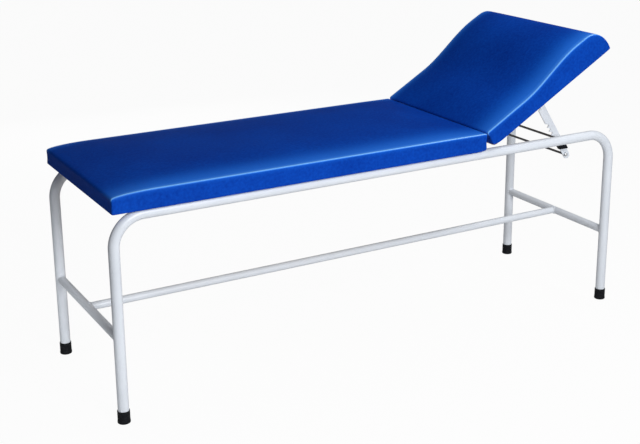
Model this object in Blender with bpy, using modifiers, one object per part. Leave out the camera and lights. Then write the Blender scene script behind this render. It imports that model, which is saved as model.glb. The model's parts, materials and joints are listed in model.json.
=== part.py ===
"""Examination table: a tubular steel frame, two vinyl pads, and a head section on a ratchet stay."""

import math

import bmesh
import bpy
from mathutils import Vector

# Driving dimensions in metres: +X is the head end, -Y the near side, and the floor is z = 0.
GAP = 0.0003

TUBE_DIAMETER = 0.0337
TUBE_WALL = 0.0015
LEG_X = 0.933
SIDE_INSET = 0.029
RAIL_Z = 0.640
BEND_RADIUS = 0.095

CROSSBAR_DIAMETER = 0.0269
CROSSBAR_Z = 0.268
STRETCHER_DIAMETER = 0.0254
BED_TUBE_DIAMETER = 0.0254
BED_TUBES_X = {"bed_tube_foot": -0.70, "bed_tube_middle": -0.16, "bed_tube_hinge": 0.27}

RUBBER_FOOT_DIAMETER = 0.0395
RUBBER_FOOT_HEIGHT = 0.040
RUBBER_FLOOR = 0.006
RUBBER_FLARE = 0.001
RUBBER_EDGE = 0.002

PAD_HALF_WIDTH = 0.307
PAD_CORNER = 0.012
PAD_EDGE_ROUND = 0.014
PAD_CROWN = 0.010
SIDE_DRAW = 0.0015
BED_FOOT_X = -0.949
BED_HEAD_X = 0.366
BED_HEIGHT = 0.060
BED_FOOT_ROUND = 0.026
BED_CROWN_EASE = 0.15

BOARD_THICKNESS = 0.015
VINYL = 0.0012
HEM = 0.035

HINGE_X = 0.379
HINGE_DROP = 0.007
HEAD_TILT = math.radians(30.0)
HEAD_START = 0.024
HEAD_END = 0.593
HEAD_HEIGHT = 0.060
PILLOW_RISE = 0.038
PILLOW_START = 0.20
PILLOW_FULL = 0.47
PILLOW_TURN = 0.522
PILLOW_ROLL_RATIO = 0.995
HEAD_CROWN_EASE = 0.12
PILLOW_CROWN_EASE = 0.06
HEAD_BOARD_MARGIN = 0.012

LEAF_LENGTH = 0.045
LEAF_WIDTH = 0.080
LEAF_THICKNESS = 0.0025
BARREL_RADIUS = 0.0055
HINGE_PIN_RADIUS = 0.003
HINGE_Y = 0.150
HINGE_PIN_TAIL = 0.002
TAB_CLEAR = 0.001
TAB_BITE = 0.003

ROD_RADIUS = 0.004
ROD_X = 0.739
ROD_DROP = 0.0095
PIVOT_ALONG = 0.306
PIVOT_BELOW = 0.015
RACK_Y = 0.200
RACK_HALF_WIDTH = 0.0127
RACK_THICKNESS = 0.005
RACK_TAIL = 0.021
RACK_FOLDED = math.radians(88.0)
SEAT_LIFT = 0.0009
NOTCH_SLACK = 0.0004
NOTCH_PITCH = 0.018
NOTCHES = 4
TOOTH_RISE = 0.0054
TOOTH_LAND = 0.002
TOOTH_HEEL = 0.018
SPREADER_BELOW_SEAT = 0.0905
SPREADER_ACROSS = 0.005
SLEEVE_LENGTH = 0.028
SLEEVE_ABOVE_SPREADER = 0.023
SLEEVE_WALL = 0.0035
# How far a notch opens above and below its seat, and the seat's first and last degrees.
RAISED_SEAT_ARC = (226.0, 360.0)
FLAT_SEAT_ARC = (205.0, 340.0)
FLAT_NOTCH_LEAD = 0.0065
FLAT_NOTCH_TRAIL = 0.008

BRACKET_THICKNESS = 0.003
BRACKET_LENGTH = 0.040
FLANGE_WIDTH = 0.030
PLAY = 0.0005
BOLT_HEAD_RADIUS = 0.007
BOLT_HEAD_HEIGHT = 0.004
NUT_RADIUS = 0.0075
NUT_HEIGHT = 0.005
THREAD_TAIL = 0.003
SCREW_RADIUS = 0.002
SCREW_HEAD_RADIUS = 0.0042
SCREW_HEAD_HEIGHT = 0.002
SCREW_DEPTH = 0.009
HINGE_SCREW_ALONG_RATIO = 0.65
HINGE_SCREW_ACROSS_RATIO = 0.36
BRACKET_SCREW_ALONG_RATIO = 0.3
BED_BOLT_RADIUS = 0.003
BED_BOLT_Y = 0.180
BED_BOLT_BITE = 0.010

TUBE_SIDES = 24
ROUND_SIDES = 12
CUT_SIDES = 24
BEND_STEPS = 12
SHARP_ANGLE = math.radians(35)
MERGE = 0.00002

# Sizes that follow from the driving dimensions.
TUBE_RADIUS = TUBE_DIAMETER / 2
SIDE_Y = PAD_HALF_WIDTH - SIDE_INSET
PAD_UNDERSIDE = RAIL_Z + TUBE_RADIUS + GAP
HINGE_Z = PAD_UNDERSIDE - HINGE_DROP
ROD_Z = RAIL_Z - ROD_DROP
BOARD_BOTTOM = VINYL + GAP
BOARD_TOP = BOARD_BOTTOM + BOARD_THICKNESS
BED_TUBE_Z = PAD_UNDERSIDE - GAP - BED_TUBE_DIAMETER / 2
PIVOT_UP = HINGE_DROP - PIVOT_BELOW

# Principled base colour (linear), roughness and metallic value of each kind of surface.
FINISHES = {
    "white_paint": ((0.67, 0.72, 0.79), 0.35, 0.0),
    "blue_vinyl": ((0.006, 0.048, 0.32), 0.38, 0.0),
    "black_rubber": ((0.007, 0.008, 0.009), 0.55, 0.0),
    "dark_steel": ((0.05, 0.05, 0.055), 0.4, 0.9),
    "zinc_steel": ((0.55, 0.56, 0.57), 0.35, 1.0),
    "plywood": ((0.50, 0.33, 0.17), 0.7, 0.0),
    "foam": ((0.80, 0.75, 0.55), 0.9, 0.0),
}

for old in list(bpy.data.objects):
    bpy.data.objects.remove(old, do_unlink=True)

parts = bpy.data.collections.new("examination_table")
cutters = bpy.data.collections.new("cutters")
for collection in (parts, cutters):
    bpy.context.scene.collection.children.link(collection)


def finish(kind):
    """The material of one kind of surface, made the first time it is asked for."""
    found = bpy.data.materials.get(kind)
    if found:
        return found
    colour, roughness, metallic = FINISHES[kind]
    made = bpy.data.materials.new(kind)
    made.use_nodes = True
    shader = made.node_tree.nodes["Principled BSDF"]
    shader.inputs["Base Color"].default_value = (*colour, 1.0)
    shader.inputs["Roughness"].default_value = roughness
    shader.inputs["Metallic"].default_value = metallic
    return made


def place(name, data, kind, parent=None, location=(0, 0, 0), turn=(0, 0, 0)):
    """A named object of the table, or a cutter where kind is None."""
    item = bpy.data.objects.new(name, data)
    item.parent = parent
    item.location = location
    item.rotation_euler = turn
    if kind is None:
        cutters.objects.link(item)
        item.hide_render = True
        item.display_type = "WIRE"
    else:
        parts.objects.link(item)
        data.materials.append(finish(kind))
    return item


def mesh_from(name, bm, smooth=True):
    mesh = bpy.data.meshes.new(name)
    bmesh.ops.recalc_face_normals(bm, faces=bm.faces)
    bm.to_mesh(mesh)
    bm.free()
    if smooth:
        mesh.shade_smooth()
        mesh.set_sharp_from_angle(angle=SHARP_ANGLE)
    return mesh


def box(name, size, kind, corner=0.0, **where):
    """A box about its own middle, with its upright edges rounded where a corner radius is given."""
    bm = bmesh.new()
    bmesh.ops.create_cube(bm, size=1.0)
    bmesh.ops.scale(bm, vec=size, verts=bm.verts)
    if corner:
        upright = [edge for edge in bm.edges if abs(edge.verts[0].co.z - edge.verts[1].co.z) > GAP]
        bmesh.ops.bevel(bm, geom=upright, offset=corner, segments=4, profile=0.5, affect="EDGES")
    return place(name, mesh_from(name, bm, smooth=False), kind, **where)


def cylinder(name, radius, length, kind, sides=ROUND_SIDES, **where):
    """A cylinder along local Z. A cutter is circumscribed, so that it never cuts too little."""
    reach = radius / math.cos(math.pi / sides) if kind is None else radius
    bm = bmesh.new()
    bmesh.ops.create_cone(
        bm, cap_ends=True, segments=sides, radius1=reach, radius2=reach, depth=length
    )
    return place(name, mesh_from(name, bm), kind, **where)


def turned(name, profile, kind, sides=ROUND_SIDES, **where):
    """A shape turned about local Z from (radius, height) points that run down its outer side."""
    mesh = bpy.data.meshes.new(name)
    points = [(radius, 0.0, height) for radius, height in profile]
    mesh.from_pydata(points, [(i, i + 1) for i in range(len(points) - 1)], [])
    item = place(name, mesh, kind, **where)
    screw = item.modifiers.new("turn", "SCREW")
    screw.axis = "Z"
    screw.steps = screw.render_steps = sides
    screw.use_merge_vertices = True
    screw.merge_threshold = MERGE
    screw.use_smooth_shade = True
    return item


def circle(centre, radius, sides=ROUND_SIDES, first=0.0, last=360.0):
    """Points of an arc in degrees. A full circle leaves out its repeated last point."""
    whole = last - first >= 360.0
    count = sides if whole else sides + 1
    angles = [math.radians(first + (last - first) * i / sides) for i in range(count)]
    return [(centre[0] + radius * math.cos(a), centre[1] + radius * math.sin(a)) for a in angles]


def outline(name, loops, thickness, kind, **where):
    """A flat plate: the first loop is its edge, the others its holes."""
    curve = bpy.data.curves.new(name, "CURVE")
    curve.dimensions = "2D"
    curve.fill_mode = "BOTH"
    curve.extrude = thickness / 2
    for loop in loops:
        spline = curve.splines.new("POLY")
        spline.points.add(len(loop) - 1)
        for point, (x, y) in zip(spline.points, loop):
            point.co = (x, y, 0.0, 1.0)
        spline.use_cyclic_u = True
    return place(name, curve, kind, **where)


def swept(name, points, diameter, kind, wall=None, sides=TUBE_SIDES):
    """A round tube or rod along a line of points, as a mesh whose ends can be cut."""
    curve = bpy.data.curves.new(name, "CURVE")
    curve.dimensions = "3D"
    curve.bevel_depth = diameter / 2
    curve.bevel_resolution = sides // 2 - 2
    curve.use_fill_caps = wall is None
    spline = curve.splines.new("POLY")
    spline.points.add(len(points) - 1)
    for point, position in zip(spline.points, points):
        point.co = (*position, 1.0)
    guide = place(name + "_line", curve, None)
    bpy.context.view_layer.update()
    evaluated = guide.evaluated_get(bpy.context.evaluated_depsgraph_get())
    mesh = bpy.data.meshes.new_from_object(evaluated)
    bpy.data.objects.remove(guide, do_unlink=True)
    mesh.name = name
    bm = bmesh.new()
    bm.from_mesh(mesh)
    bmesh.ops.remove_doubles(bm, verts=bm.verts, dist=MERGE)
    bmesh.ops.recalc_face_normals(bm, faces=bm.faces)
    bm.to_mesh(mesh)
    bm.free()
    mesh.materials.clear()
    mesh.shade_smooth()
    mesh.set_sharp_from_angle(angle=SHARP_ANGLE)
    item = place(name, mesh, kind)
    if wall:
        skin = item.modifiers.new("wall", "SOLIDIFY")
        skin.thickness = wall
        skin.offset = -1.0
        skin.use_even_offset = True
    return item


def boolean(target, tool, operation="DIFFERENCE"):
    step = target.modifiers.new(operation.lower(), "BOOLEAN")
    step.operation = operation
    step.object = tool
    step.solver = "EXACT"


def side_name(side):
    return "left" if side < 0 else "right"


def end_name(end):
    return "foot" if end < 0 else "head"


ALONG_Y = (math.radians(90), 0.0, 0.0)
ALONG_X = (0.0, math.radians(90), 0.0)


# Frame: two bent side tubes, crossbars low at both ends, a centre stretcher and hidden tubes under the bed.
def side_frame_line(side):
    """The centre line of one bent tube, from one leg over the rail to the other leg."""
    y = side * SIDE_Y
    foot = RUBBER_FLOOR + GAP
    line = [(-LEG_X, y, foot)]
    for end in (-1, 1):
        centre = (end * (LEG_X - BEND_RADIUS), RAIL_Z - BEND_RADIUS)
        first, last = (180.0, 90.0) if end < 0 else (90.0, 0.0)
        for step in range(BEND_STEPS + 1):
            angle = math.radians(first + (last - first) * step / BEND_STEPS)
            x = centre[0] + BEND_RADIUS * math.cos(angle)
            z = centre[1] + BEND_RADIUS * math.sin(angle)
            line.append((x, y, z))
    line.append((LEG_X, y, foot))
    return line


rail_cutters = []
for side in (-1, 1):
    swept(side_name(side) + "_side_frame", side_frame_line(side), TUBE_DIAMETER, "white_paint", TUBE_WALL)
    rail_cutters.append(
        cylinder(
            side_name(side) + "_rail_cut",
            TUBE_RADIUS + GAP,
            2 * (LEG_X - BEND_RADIUS),
            None,
            CUT_SIDES,
            location=(0, side * SIDE_Y, RAIL_Z),
            turn=ALONG_X,
        )
    )

stretcher = swept(
    "centre_stretcher",
    [(-LEG_X, 0, CROSSBAR_Z), (LEG_X, 0, CROSSBAR_Z)],
    STRETCHER_DIAMETER,
    "white_paint",
    TUBE_WALL,
)
for end in (-1, 1):
    name = end_name(end) + "_end_crossbar"
    span = [(end * LEG_X, -SIDE_Y, CROSSBAR_Z), (end * LEG_X, SIDE_Y, CROSSBAR_Z)]
    crossbar = swept(name, span, CROSSBAR_DIAMETER, "white_paint", TUBE_WALL)
    for side in (-1, 1):
        leg_cut = cylinder(
            f"{end_name(end)}_{side_name(side)}_leg_cut",
            TUBE_RADIUS + GAP,
            2 * CROSSBAR_DIAMETER,
            None,
            CUT_SIDES,
            location=(end * LEG_X, side * SIDE_Y, CROSSBAR_Z),
        )
        boolean(crossbar, leg_cut)
    bar_cut = cylinder(
        name + "_cut",
        CROSSBAR_DIAMETER / 2 + GAP,
        2 * STRETCHER_DIAMETER,
        None,
        CUT_SIDES,
        location=(end * LEG_X, 0, CROSSBAR_Z),
        turn=ALONG_Y,
    )
    boolean(stretcher, bar_cut)

bed_tubes = {}
for name, x in BED_TUBES_X.items():
    span = [(x, -SIDE_Y, BED_TUBE_Z), (x, SIDE_Y, BED_TUBE_Z)]
    bed_tubes[name] = swept(name, span, BED_TUBE_DIAMETER, "white_paint", TUBE_WALL)
    for rail_cut in rail_cutters:
        boolean(bed_tubes[name], rail_cut)

support_rod = swept(
    "support_rod",
    [(ROD_X, -SIDE_Y, ROD_Z), (ROD_X, SIDE_Y, ROD_Z)],
    2 * ROD_RADIUS,
    "dark_steel",
    sides=ROUND_SIDES,
)
for rail_cut in rail_cutters:
    boolean(support_rod, rail_cut)

# Rubber feet: flared cups on the leg ends.
foot_radius = RUBBER_FOOT_DIAMETER / 2
cup_radius = TUBE_RADIUS + GAP
foot_profile = [
    (0.0, RUBBER_FLOOR),
    (cup_radius, RUBBER_FLOOR),
    (cup_radius, RUBBER_FOOT_HEIGHT),
    (foot_radius - RUBBER_FLARE, RUBBER_FOOT_HEIGHT),
    (foot_radius - RUBBER_FLARE / 2, RUBBER_FOOT_HEIGHT / 4),
    (foot_radius, RUBBER_FOOT_HEIGHT / 6),
    (foot_radius, RUBBER_EDGE),
    (foot_radius - RUBBER_EDGE, 0.0),
    (0.0, 0.0),
]
for end in (-1, 1):
    for side in (-1, 1):
        turned(
            f"rubber_foot_{end_name(end)}_{side_name(side)}",
            foot_profile,
            "black_rubber",
            CUT_SIDES,
            location=(end * LEG_X, side * SIDE_Y, 0),
        )


# Pads: each is a board with foam on it, inside a vinyl cover that is turned under the board as a hem.
def quarter(distance, radius):
    """How far a round corner of this radius falls back at a distance in from the end."""
    inside = max(0.0, radius - distance)
    return radius - math.sqrt(radius * radius - inside * inside)


def ease(value):
    value = min(1.0, max(0.0, value))
    return value * value * (3.0 - 2.0 * value)


def pad_ring(half, height, crown):
    """One cross-section (across, up) of a pad, from hem to hem over the top."""
    edge = min(PAD_EDGE_ROUND, 0.6 * height)
    foot = 0.1 * edge
    right = [(half - HEM, 0.0), (half - foot, 0.0), (half, foot)]
    right.append((half - SIDE_DRAW, (height - edge + foot) / 2))
    right += circle((half - edge, height - edge), edge, 3, 0.0, 90.0)
    for share in (0.8, 0.4):
        right.append((share * (half - edge), height + crown * (1.0 - share * share)))
    left = [(-across, up) for across, up in reversed(right)]
    return right + [(0.0, height + crown)] + left


def pad_surface(stations, section):
    """A closed loft through the sections at these stations along the pad."""
    bm = bmesh.new()
    rings = []
    for x in stations:
        rings.append([bm.verts.new((x, across, up)) for across, up in pad_ring(*section(x))])
    count = len(rings[0])
    for ring, after in zip(rings, rings[1:]):
        for i in range(count):
            j = (i + 1) % count
            bm.faces.new((ring[i], ring[j], after[j], after[i]))
    bm.faces.new(rings[0])
    bm.faces.new(rings[-1])
    bmesh.ops.recalc_face_normals(bm, faces=bm.faces)
    return bm


def pad(prefix, stations, section, board_end, parent=None, location=(0, 0, 0)):
    """The cover, the foam and the board of one pad, and a dictionary of the three."""
    start, end = stations[0], stations[-1]
    bm = pad_surface(stations, section)
    inner = [
        face
        for face in bm.faces
        if all(abs(v.co.z) < GAP for v in face.verts)
        and all(abs(v.co.y) < PAD_HALF_WIDTH - HEM + GAP for v in face.verts)
        and all(start + HEM - GAP < v.co.x < end - HEM + GAP for v in face.verts)
    ]
    bmesh.ops.delete(bm, geom=inner, context="FACES")
    cover = place(prefix + "_cover", mesh_from(prefix + "_cover", bm), "blue_vinyl", parent, location)
    skin = cover.modifiers.new("vinyl", "SOLIDIFY")
    skin.thickness = VINYL
    skin.offset = -1.0
    skin.use_even_offset = True

    bm = pad_surface(stations, section)
    bm.normal_update()
    inset = VINYL + 2 * GAP
    moves = [(v, v.normal * (inset * v.calc_shell_factor())) for v in bm.verts]
    for vert, move in moves:
        vert.co -= move
    cut = bmesh.ops.bisect_plane(
        bm,
        geom=bm.verts[:] + bm.edges[:] + bm.faces[:],
        plane_co=(0, 0, BOARD_TOP + GAP),
        plane_no=(0, 0, 1),
        clear_inner=True,
    )
    rim = [item for item in cut["geom_cut"] if isinstance(item, bmesh.types.BMEdge)]
    bmesh.ops.edgeloop_fill(bm, edges=rim)
    foam = place(prefix + "_foam", mesh_from(prefix + "_foam", bm), "foam", parent, location)

    margin = VINYL + SIDE_DRAW + 2 * GAP
    board_start = start + margin
    length = board_end - board_start
    middle = Vector(location) + Vector((board_start + length / 2, 0, (BOARD_BOTTOM + BOARD_TOP) / 2))
    board = box(
        prefix + "_board",
        (length, 2 * (PAD_HALF_WIDTH - margin), BOARD_THICKNESS),
        "plywood",
        PAD_CORNER,
        parent=parent,
        location=middle,
    )
    return {"cover": cover, "foam": foam, "board": board}


def rounded_stations(start, end, start_round, end_round, between):
    """Places of the sections: close together where the ends round off, and at the hems."""
    steps = [1.0 - math.cos(math.radians(30 * k)) for k in range(4)]
    near = [start + start_round * step for step in steps]
    far = [end - end_round * step for step in steps]
    return sorted(set(near + far + [start + HEM, end - HEM] + between))


def bed_section(x):
    from_foot, from_head = x - BED_FOOT_X, BED_HEAD_X - x
    nearest = min(from_foot, from_head)
    fall = quarter(from_foot, BED_FOOT_ROUND) + quarter(from_head, PAD_EDGE_ROUND)
    half = PAD_HALF_WIDTH - quarter(nearest, PAD_CORNER)
    return half, BED_HEIGHT - fall, PAD_CROWN * ease(nearest / BED_CROWN_EASE)


bed_length = BED_HEAD_X - BED_FOOT_X
bed_stations = rounded_stations(
    BED_FOOT_X,
    BED_HEAD_X,
    BED_FOOT_ROUND,
    PAD_EDGE_ROUND,
    [BED_FOOT_X + bed_length * share for share in (0.06, 0.12, 0.35, 0.65, 0.88, 0.94)],
)
bed = pad(
    "bed",
    bed_stations,
    bed_section,
    BED_HEAD_X - VINYL - SIDE_DRAW - 2 * GAP,
    location=(0, 0, PAD_UNDERSIDE),
)

head_axis = bpy.data.objects.new("head_axis", None)
head_axis.location = (HINGE_X, 0, HINGE_Z)
head_axis.rotation_euler = (0, -HEAD_TILT, 0)
parts.objects.link(head_axis)


def head_section(x):
    """The head pad is flat near the hinge, swells into a pillow and rolls down to its far end."""
    top = HEAD_HEIGHT + PILLOW_RISE * ease((x - PILLOW_START) / (PILLOW_FULL - PILLOW_START))
    turn = max(0.0, (x - PILLOW_TURN) / (HEAD_END - PILLOW_TURN))
    roll = math.sqrt(1.0 - min(PILLOW_ROLL_RATIO, turn * turn))
    fall = quarter(x - HEAD_START, PAD_EDGE_ROUND)
    nearest = min(x - HEAD_START, HEAD_END - x)
    half = PAD_HALF_WIDTH - quarter(nearest, PAD_CORNER)
    crown = PAD_CROWN * ease((x - HEAD_START) / HEAD_CROWN_EASE) * roll
    return half, top * roll - fall, crown * ease((HEAD_END - x) / PILLOW_CROWN_EASE)


pillow_length = PILLOW_FULL - PILLOW_START
turn_length = HEAD_END - PILLOW_TURN
head_stations = rounded_stations(
    HEAD_START,
    HEAD_END,
    PAD_EDGE_ROUND,
    PAD_CORNER,
    [(HEAD_START + PILLOW_START) / 2]
    + [PILLOW_START + pillow_length * share for share in (0.0, 0.25, 0.5, 0.75, 1.0)]
    + [PILLOW_TURN + turn_length * share for share in (0.0, 0.3, 0.7)],
)
head = pad(
    "head",
    head_stations,
    head_section,
    HEAD_END - HEAD_BOARD_MARGIN,
    parent=head_axis,
    location=(0, 0, HINGE_DROP),
)


# Butt hinges under the pads: outer barrels on the bed leaf, the middle barrel on the head leaf.
def hinge_leaf(name, y, direction, barrels, parent, location):
    """A leaf that runs from the barrel in +X or -X, with barrels at these places across the hinge."""
    top = HINGE_DROP - GAP
    reach = BARREL_RADIUS + TAB_CLEAR
    middle = direction * (reach + LEAF_LENGTH) / 2
    height = top - LEAF_THICKNESS / 2
    origin = Vector(location) + Vector((0, y, 0))
    leaf = box(
        name,
        (LEAF_LENGTH - reach, LEAF_WIDTH, LEAF_THICKNESS),
        "zinc_steel",
        parent=parent,
        location=origin + Vector((middle, 0, height)),
    )
    for index, (across, width) in enumerate(barrels):
        tab_size = (reach + TAB_BITE, width, LEAF_THICKNESS - 2 * GAP)
        tab_place = origin + Vector((direction * (reach + TAB_BITE) / 2, across, height))
        tab = box(f"{name}_tab_{index}", tab_size, None, parent=parent, location=tab_place)
        barrel = cylinder(
            f"{name}_barrel_{index}",
            BARREL_RADIUS,
            width - 2 * GAP,
            None,
            parent=parent,
            location=origin + Vector((0, across, 0)),
            turn=ALONG_Y,
        )
        boolean(leaf, tab, "UNION")
        boolean(leaf, barrel, "UNION")
    bore = cylinder(
        name + "_bore",
        HINGE_PIN_RADIUS + GAP,
        2 * LEAF_WIDTH,
        None,
        parent=parent,
        location=origin,
        turn=ALONG_Y,
    )
    boolean(leaf, bore)
    return leaf


barrel_width = LEAF_WIDTH / 3
leaves = {"bed": [], "head": []}
for side in (-1, 1):
    y = side * HINGE_Y
    outer = [(-barrel_width, barrel_width - PLAY), (barrel_width, barrel_width - PLAY)]
    inner = [(0.0, barrel_width - PLAY)]
    axis = (HINGE_X, 0, HINGE_Z)
    name = side_name(side) + "_{}_hinge_leaf"
    leaves["bed"].append(hinge_leaf(name.format("bed"), y, -1, outer, None, axis))
    leaves["head"].append(hinge_leaf(name.format("head"), y, 1, inner, head_axis, (0, 0, 0)))
    cylinder(
        side_name(side) + "_hinge_pin",
        HINGE_PIN_RADIUS,
        LEAF_WIDTH + 2 * HINGE_PIN_TAIL,
        "zinc_steel",
        location=(HINGE_X, y, HINGE_Z),
        turn=ALONG_Y,
    )


# Ratchet stay: two toothed bars hang from brackets under the head board and hook on the support rod.
def turned_by(angle, along, up):
    return (along * math.cos(angle) - up * math.sin(angle), along * math.sin(angle) + up * math.cos(angle))


def pivot_at(tilt):
    along, up = turned_by(tilt, PIVOT_ALONG, PIVOT_UP)
    return HINGE_X + along, HINGE_Z + up


def rod_on_rack(tilt, swing):
    """The rod's place on the rack (down along it, across towards the teeth) at these angles."""
    pivot_x, pivot_z = pivot_at(tilt)
    dx, dz = ROD_X - pivot_x, ROD_Z - pivot_z
    along = dx * math.sin(swing) - dz * math.cos(swing)
    across = -dx * math.cos(swing) - dz * math.sin(swing)
    return along, across


seat_across = RACK_HALF_WIDTH + SEAT_LIFT
raised_x, raised_z = pivot_at(HEAD_TILT)
rod_reach = math.hypot(ROD_X - raised_x, ROD_Z - raised_z)
rack_swing = math.atan2(ROD_X - raised_x, raised_z - ROD_Z) + math.asin(seat_across / rod_reach)

seat_along, _ = rod_on_rack(HEAD_TILT, rack_swing)
spreader_along = seat_along + SPREADER_BELOW_SEAT
rack_end = spreader_along + RACK_TAIL

rack_axis = bpy.data.objects.new("rack_axis", None)
rack_axis.parent = head_axis
rack_axis.location = (PIVOT_ALONG, 0, PIVOT_UP)
rack_axis.rotation_euler = (0, HEAD_TILT - rack_swing, 0)
parts.objects.link(rack_axis)


tooth_tip = RACK_HALF_WIDTH + TOOTH_RISE
seat_radius = ROD_RADIUS + NOTCH_SLACK


def raised_notch(along):
    """A notch with a slanted way in from above, a round seat, and a hooked tooth below it."""
    ramp = NOTCH_PITCH - seat_radius - TOOTH_LAND
    seat = circle((along, seat_across), seat_radius, 6, *RAISED_SEAT_ARC)
    return [(along - ramp, tooth_tip)] + seat + [(along + seat_radius, tooth_tip)]


def flat_notch():
    """The notch for the head section lying flat, above which the rack is narrower."""
    along, across = rod_on_rack(0.0, RACK_FOLDED)
    seat = circle((along, across), seat_radius, 6, *FLAT_SEAT_ARC)
    lead = (along - FLAT_NOTCH_LEAD, RACK_HALF_WIDTH)
    return [lead] + seat + [(along + FLAT_NOTCH_TRAIL, tooth_tip)]


def rack_edge():
    """The rack's outline, as (down along the rack, across towards the teeth)."""
    half = RACK_HALF_WIDTH
    edge = circle((0, 0), half, 8, 270.0, 90.0) + flat_notch()
    for index in reversed(range(NOTCHES)):
        edge += raised_notch(seat_along - index * NOTCH_PITCH)
    heel = seat_along + seat_radius + TOOTH_LAND
    edge += [(heel, tooth_tip), (heel + TOOTH_HEEL, half)]
    return edge + circle((rack_end - half, 0), half, 8, 90.0, -90.0)


def on_rack(points):
    """Rack places as local x and z of the stay, whose rack hangs down its own -Z with the teeth at -X."""
    return [(-across, -along) for along, across in points]


pivot_hole = ROD_RADIUS + 1.5 * GAP
rack_loops = [
    on_rack(rack_edge()),
    on_rack(circle((0, 0), pivot_hole)),
    on_rack(circle((spreader_along, SPREADER_ACROSS), pivot_hole)),
]
sleeve_middle = SLEEVE_ABOVE_SPREADER + SLEEVE_LENGTH / 2 - spreader_along
for side in (-1, 1):
    rack_name = side_name(side) + "_rack_bar"
    where = {"parent": rack_axis, "location": (0, side * RACK_Y, 0), "turn": ALONG_Y}
    outline(rack_name, rack_loops, RACK_THICKNESS, "white_paint", **where)
    bore = (2 * (RACK_HALF_WIDTH + GAP), RACK_THICKNESS + 2 * GAP, 2 * SLEEVE_LENGTH)
    sleeve_size = (bore[0] + 2 * SLEEVE_WALL, bore[1] + 2 * SLEEVE_WALL, SLEEVE_LENGTH)
    at = {"parent": rack_axis, "location": (0, side * RACK_Y, sleeve_middle)}
    sleeve = box(side_name(side) + "_rack_sleeve", sleeve_size, "black_rubber", **at)
    boolean(sleeve, box(rack_name + "_sleeve_bore", bore, None, **at))

rack_side = RACK_Y + RACK_THICKNESS / 2 + PLAY
rod_tip = rack_side + NUT_HEIGHT + THREAD_TAIL
cylinder(
    "spreader_rod",
    ROD_RADIUS,
    2 * rod_tip,
    "dark_steel",
    parent=rack_axis,
    location=(-SPREADER_ACROSS, 0, -spreader_along),
    turn=ALONG_Y,
)
nut_loops = [circle((0, 0), NUT_RADIUS, 6), circle((0, 0), pivot_hole)]
ear_outer = rack_side + BRACKET_THICKNESS
flange_top = HINGE_DROP + BOARD_BOTTOM - GAP
bolt_tip = -(BRACKET_THICKNESS + RACK_THICKNESS + NUT_HEIGHT + THREAD_TAIL)
bolt_profile = [
    (0.0, BOLT_HEAD_HEIGHT),
    (0.6 * BOLT_HEAD_RADIUS, BOLT_HEAD_HEIGHT),
    (BOLT_HEAD_RADIUS, BOLT_HEAD_HEIGHT / 2),
    (BOLT_HEAD_RADIUS, 0.0),
    (ROD_RADIUS, 0.0),
    (ROD_RADIUS, bolt_tip),
    (0.0, bolt_tip),
]
brackets = []
for side in (-1, 1):
    outline(
        side_name(side) + "_spreader_nut",
        nut_loops,
        NUT_HEIGHT,
        "zinc_steel",
        parent=rack_axis,
        location=(-SPREADER_ACROSS, side * (rack_side + NUT_HEIGHT / 2), -spreader_along),
        turn=ALONG_Y,
    )
    name = side_name(side) + "_rack_bracket"
    flange_middle = side * (rack_side + FLANGE_WIDTH / 2)
    bracket = box(
        name,
        (BRACKET_LENGTH, FLANGE_WIDTH, BRACKET_THICKNESS),
        "zinc_steel",
        parent=head_axis,
        location=(PIVOT_ALONG, flange_middle, flange_top - BRACKET_THICKNESS / 2),
    )
    ear_height = flange_top - GAP - PIVOT_UP
    ear_place = (PIVOT_ALONG, side * (rack_side + ear_outer) / 2, PIVOT_UP)
    lift = Vector((0, 0, ear_height / 2))
    upper_size = (BRACKET_LENGTH - 2 * GAP, BRACKET_THICKNESS - 2 * GAP, ear_height)
    upper = box(name + "_ear", upper_size, None, parent=head_axis, location=Vector(ear_place) + lift)
    lower = cylinder(
        name + "_eye",
        RACK_HALF_WIDTH,
        BRACKET_THICKNESS - 4 * GAP,
        None,
        CUT_SIDES,
        parent=head_axis,
        location=ear_place,
        turn=ALONG_Y,
    )
    hole = cylinder(
        name + "_hole",
        ROD_RADIUS + GAP,
        4 * BRACKET_THICKNESS,
        None,
        parent=head_axis,
        location=ear_place,
        turn=ALONG_Y,
    )
    boolean(bracket, upper, "UNION")
    boolean(bracket, lower, "UNION")
    boolean(bracket, hole)
    brackets.append(bracket)
    turned(
        side_name(side) + "_rack_pivot_bolt",
        bolt_profile,
        "zinc_steel",
        parent=head_axis,
        location=(PIVOT_ALONG, side * (ear_outer + GAP), PIVOT_UP),
        turn=(-side * math.radians(90), 0.0, 0.0),
    )
    nut_middle = RACK_Y - RACK_THICKNESS / 2 - PLAY - NUT_HEIGHT / 2
    outline(
        side_name(side) + "_rack_pivot_nut",
        nut_loops,
        NUT_HEIGHT,
        "zinc_steel",
        parent=head_axis,
        location=(PIVOT_ALONG, side * nut_middle, PIVOT_UP),
        turn=ALONG_Y,
    )


# Fasteners: screws up into the boards, and bolts through the bed tubes, each in a slightly wider hole.
def fastener(name, radius, head_radius, head_height, length, kind, targets, parent, location):
    """A round-headed fastener that points up from its head's top face at this place."""
    profile = [
        (0.0, length),
        (radius, length - radius),
        (radius, 0.0),
        (head_radius, 0.0),
        (0.8 * head_radius, -head_height),
        (0.0, -head_height),
    ]
    turned(name, profile, kind, parent=parent, location=location)
    hole_length = 2 * (length + GAP)
    hole = cylinder(name + "_hole", radius + GAP, hole_length, None, parent=parent, location=location)
    for target in targets:
        boolean(target, hole)


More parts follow.
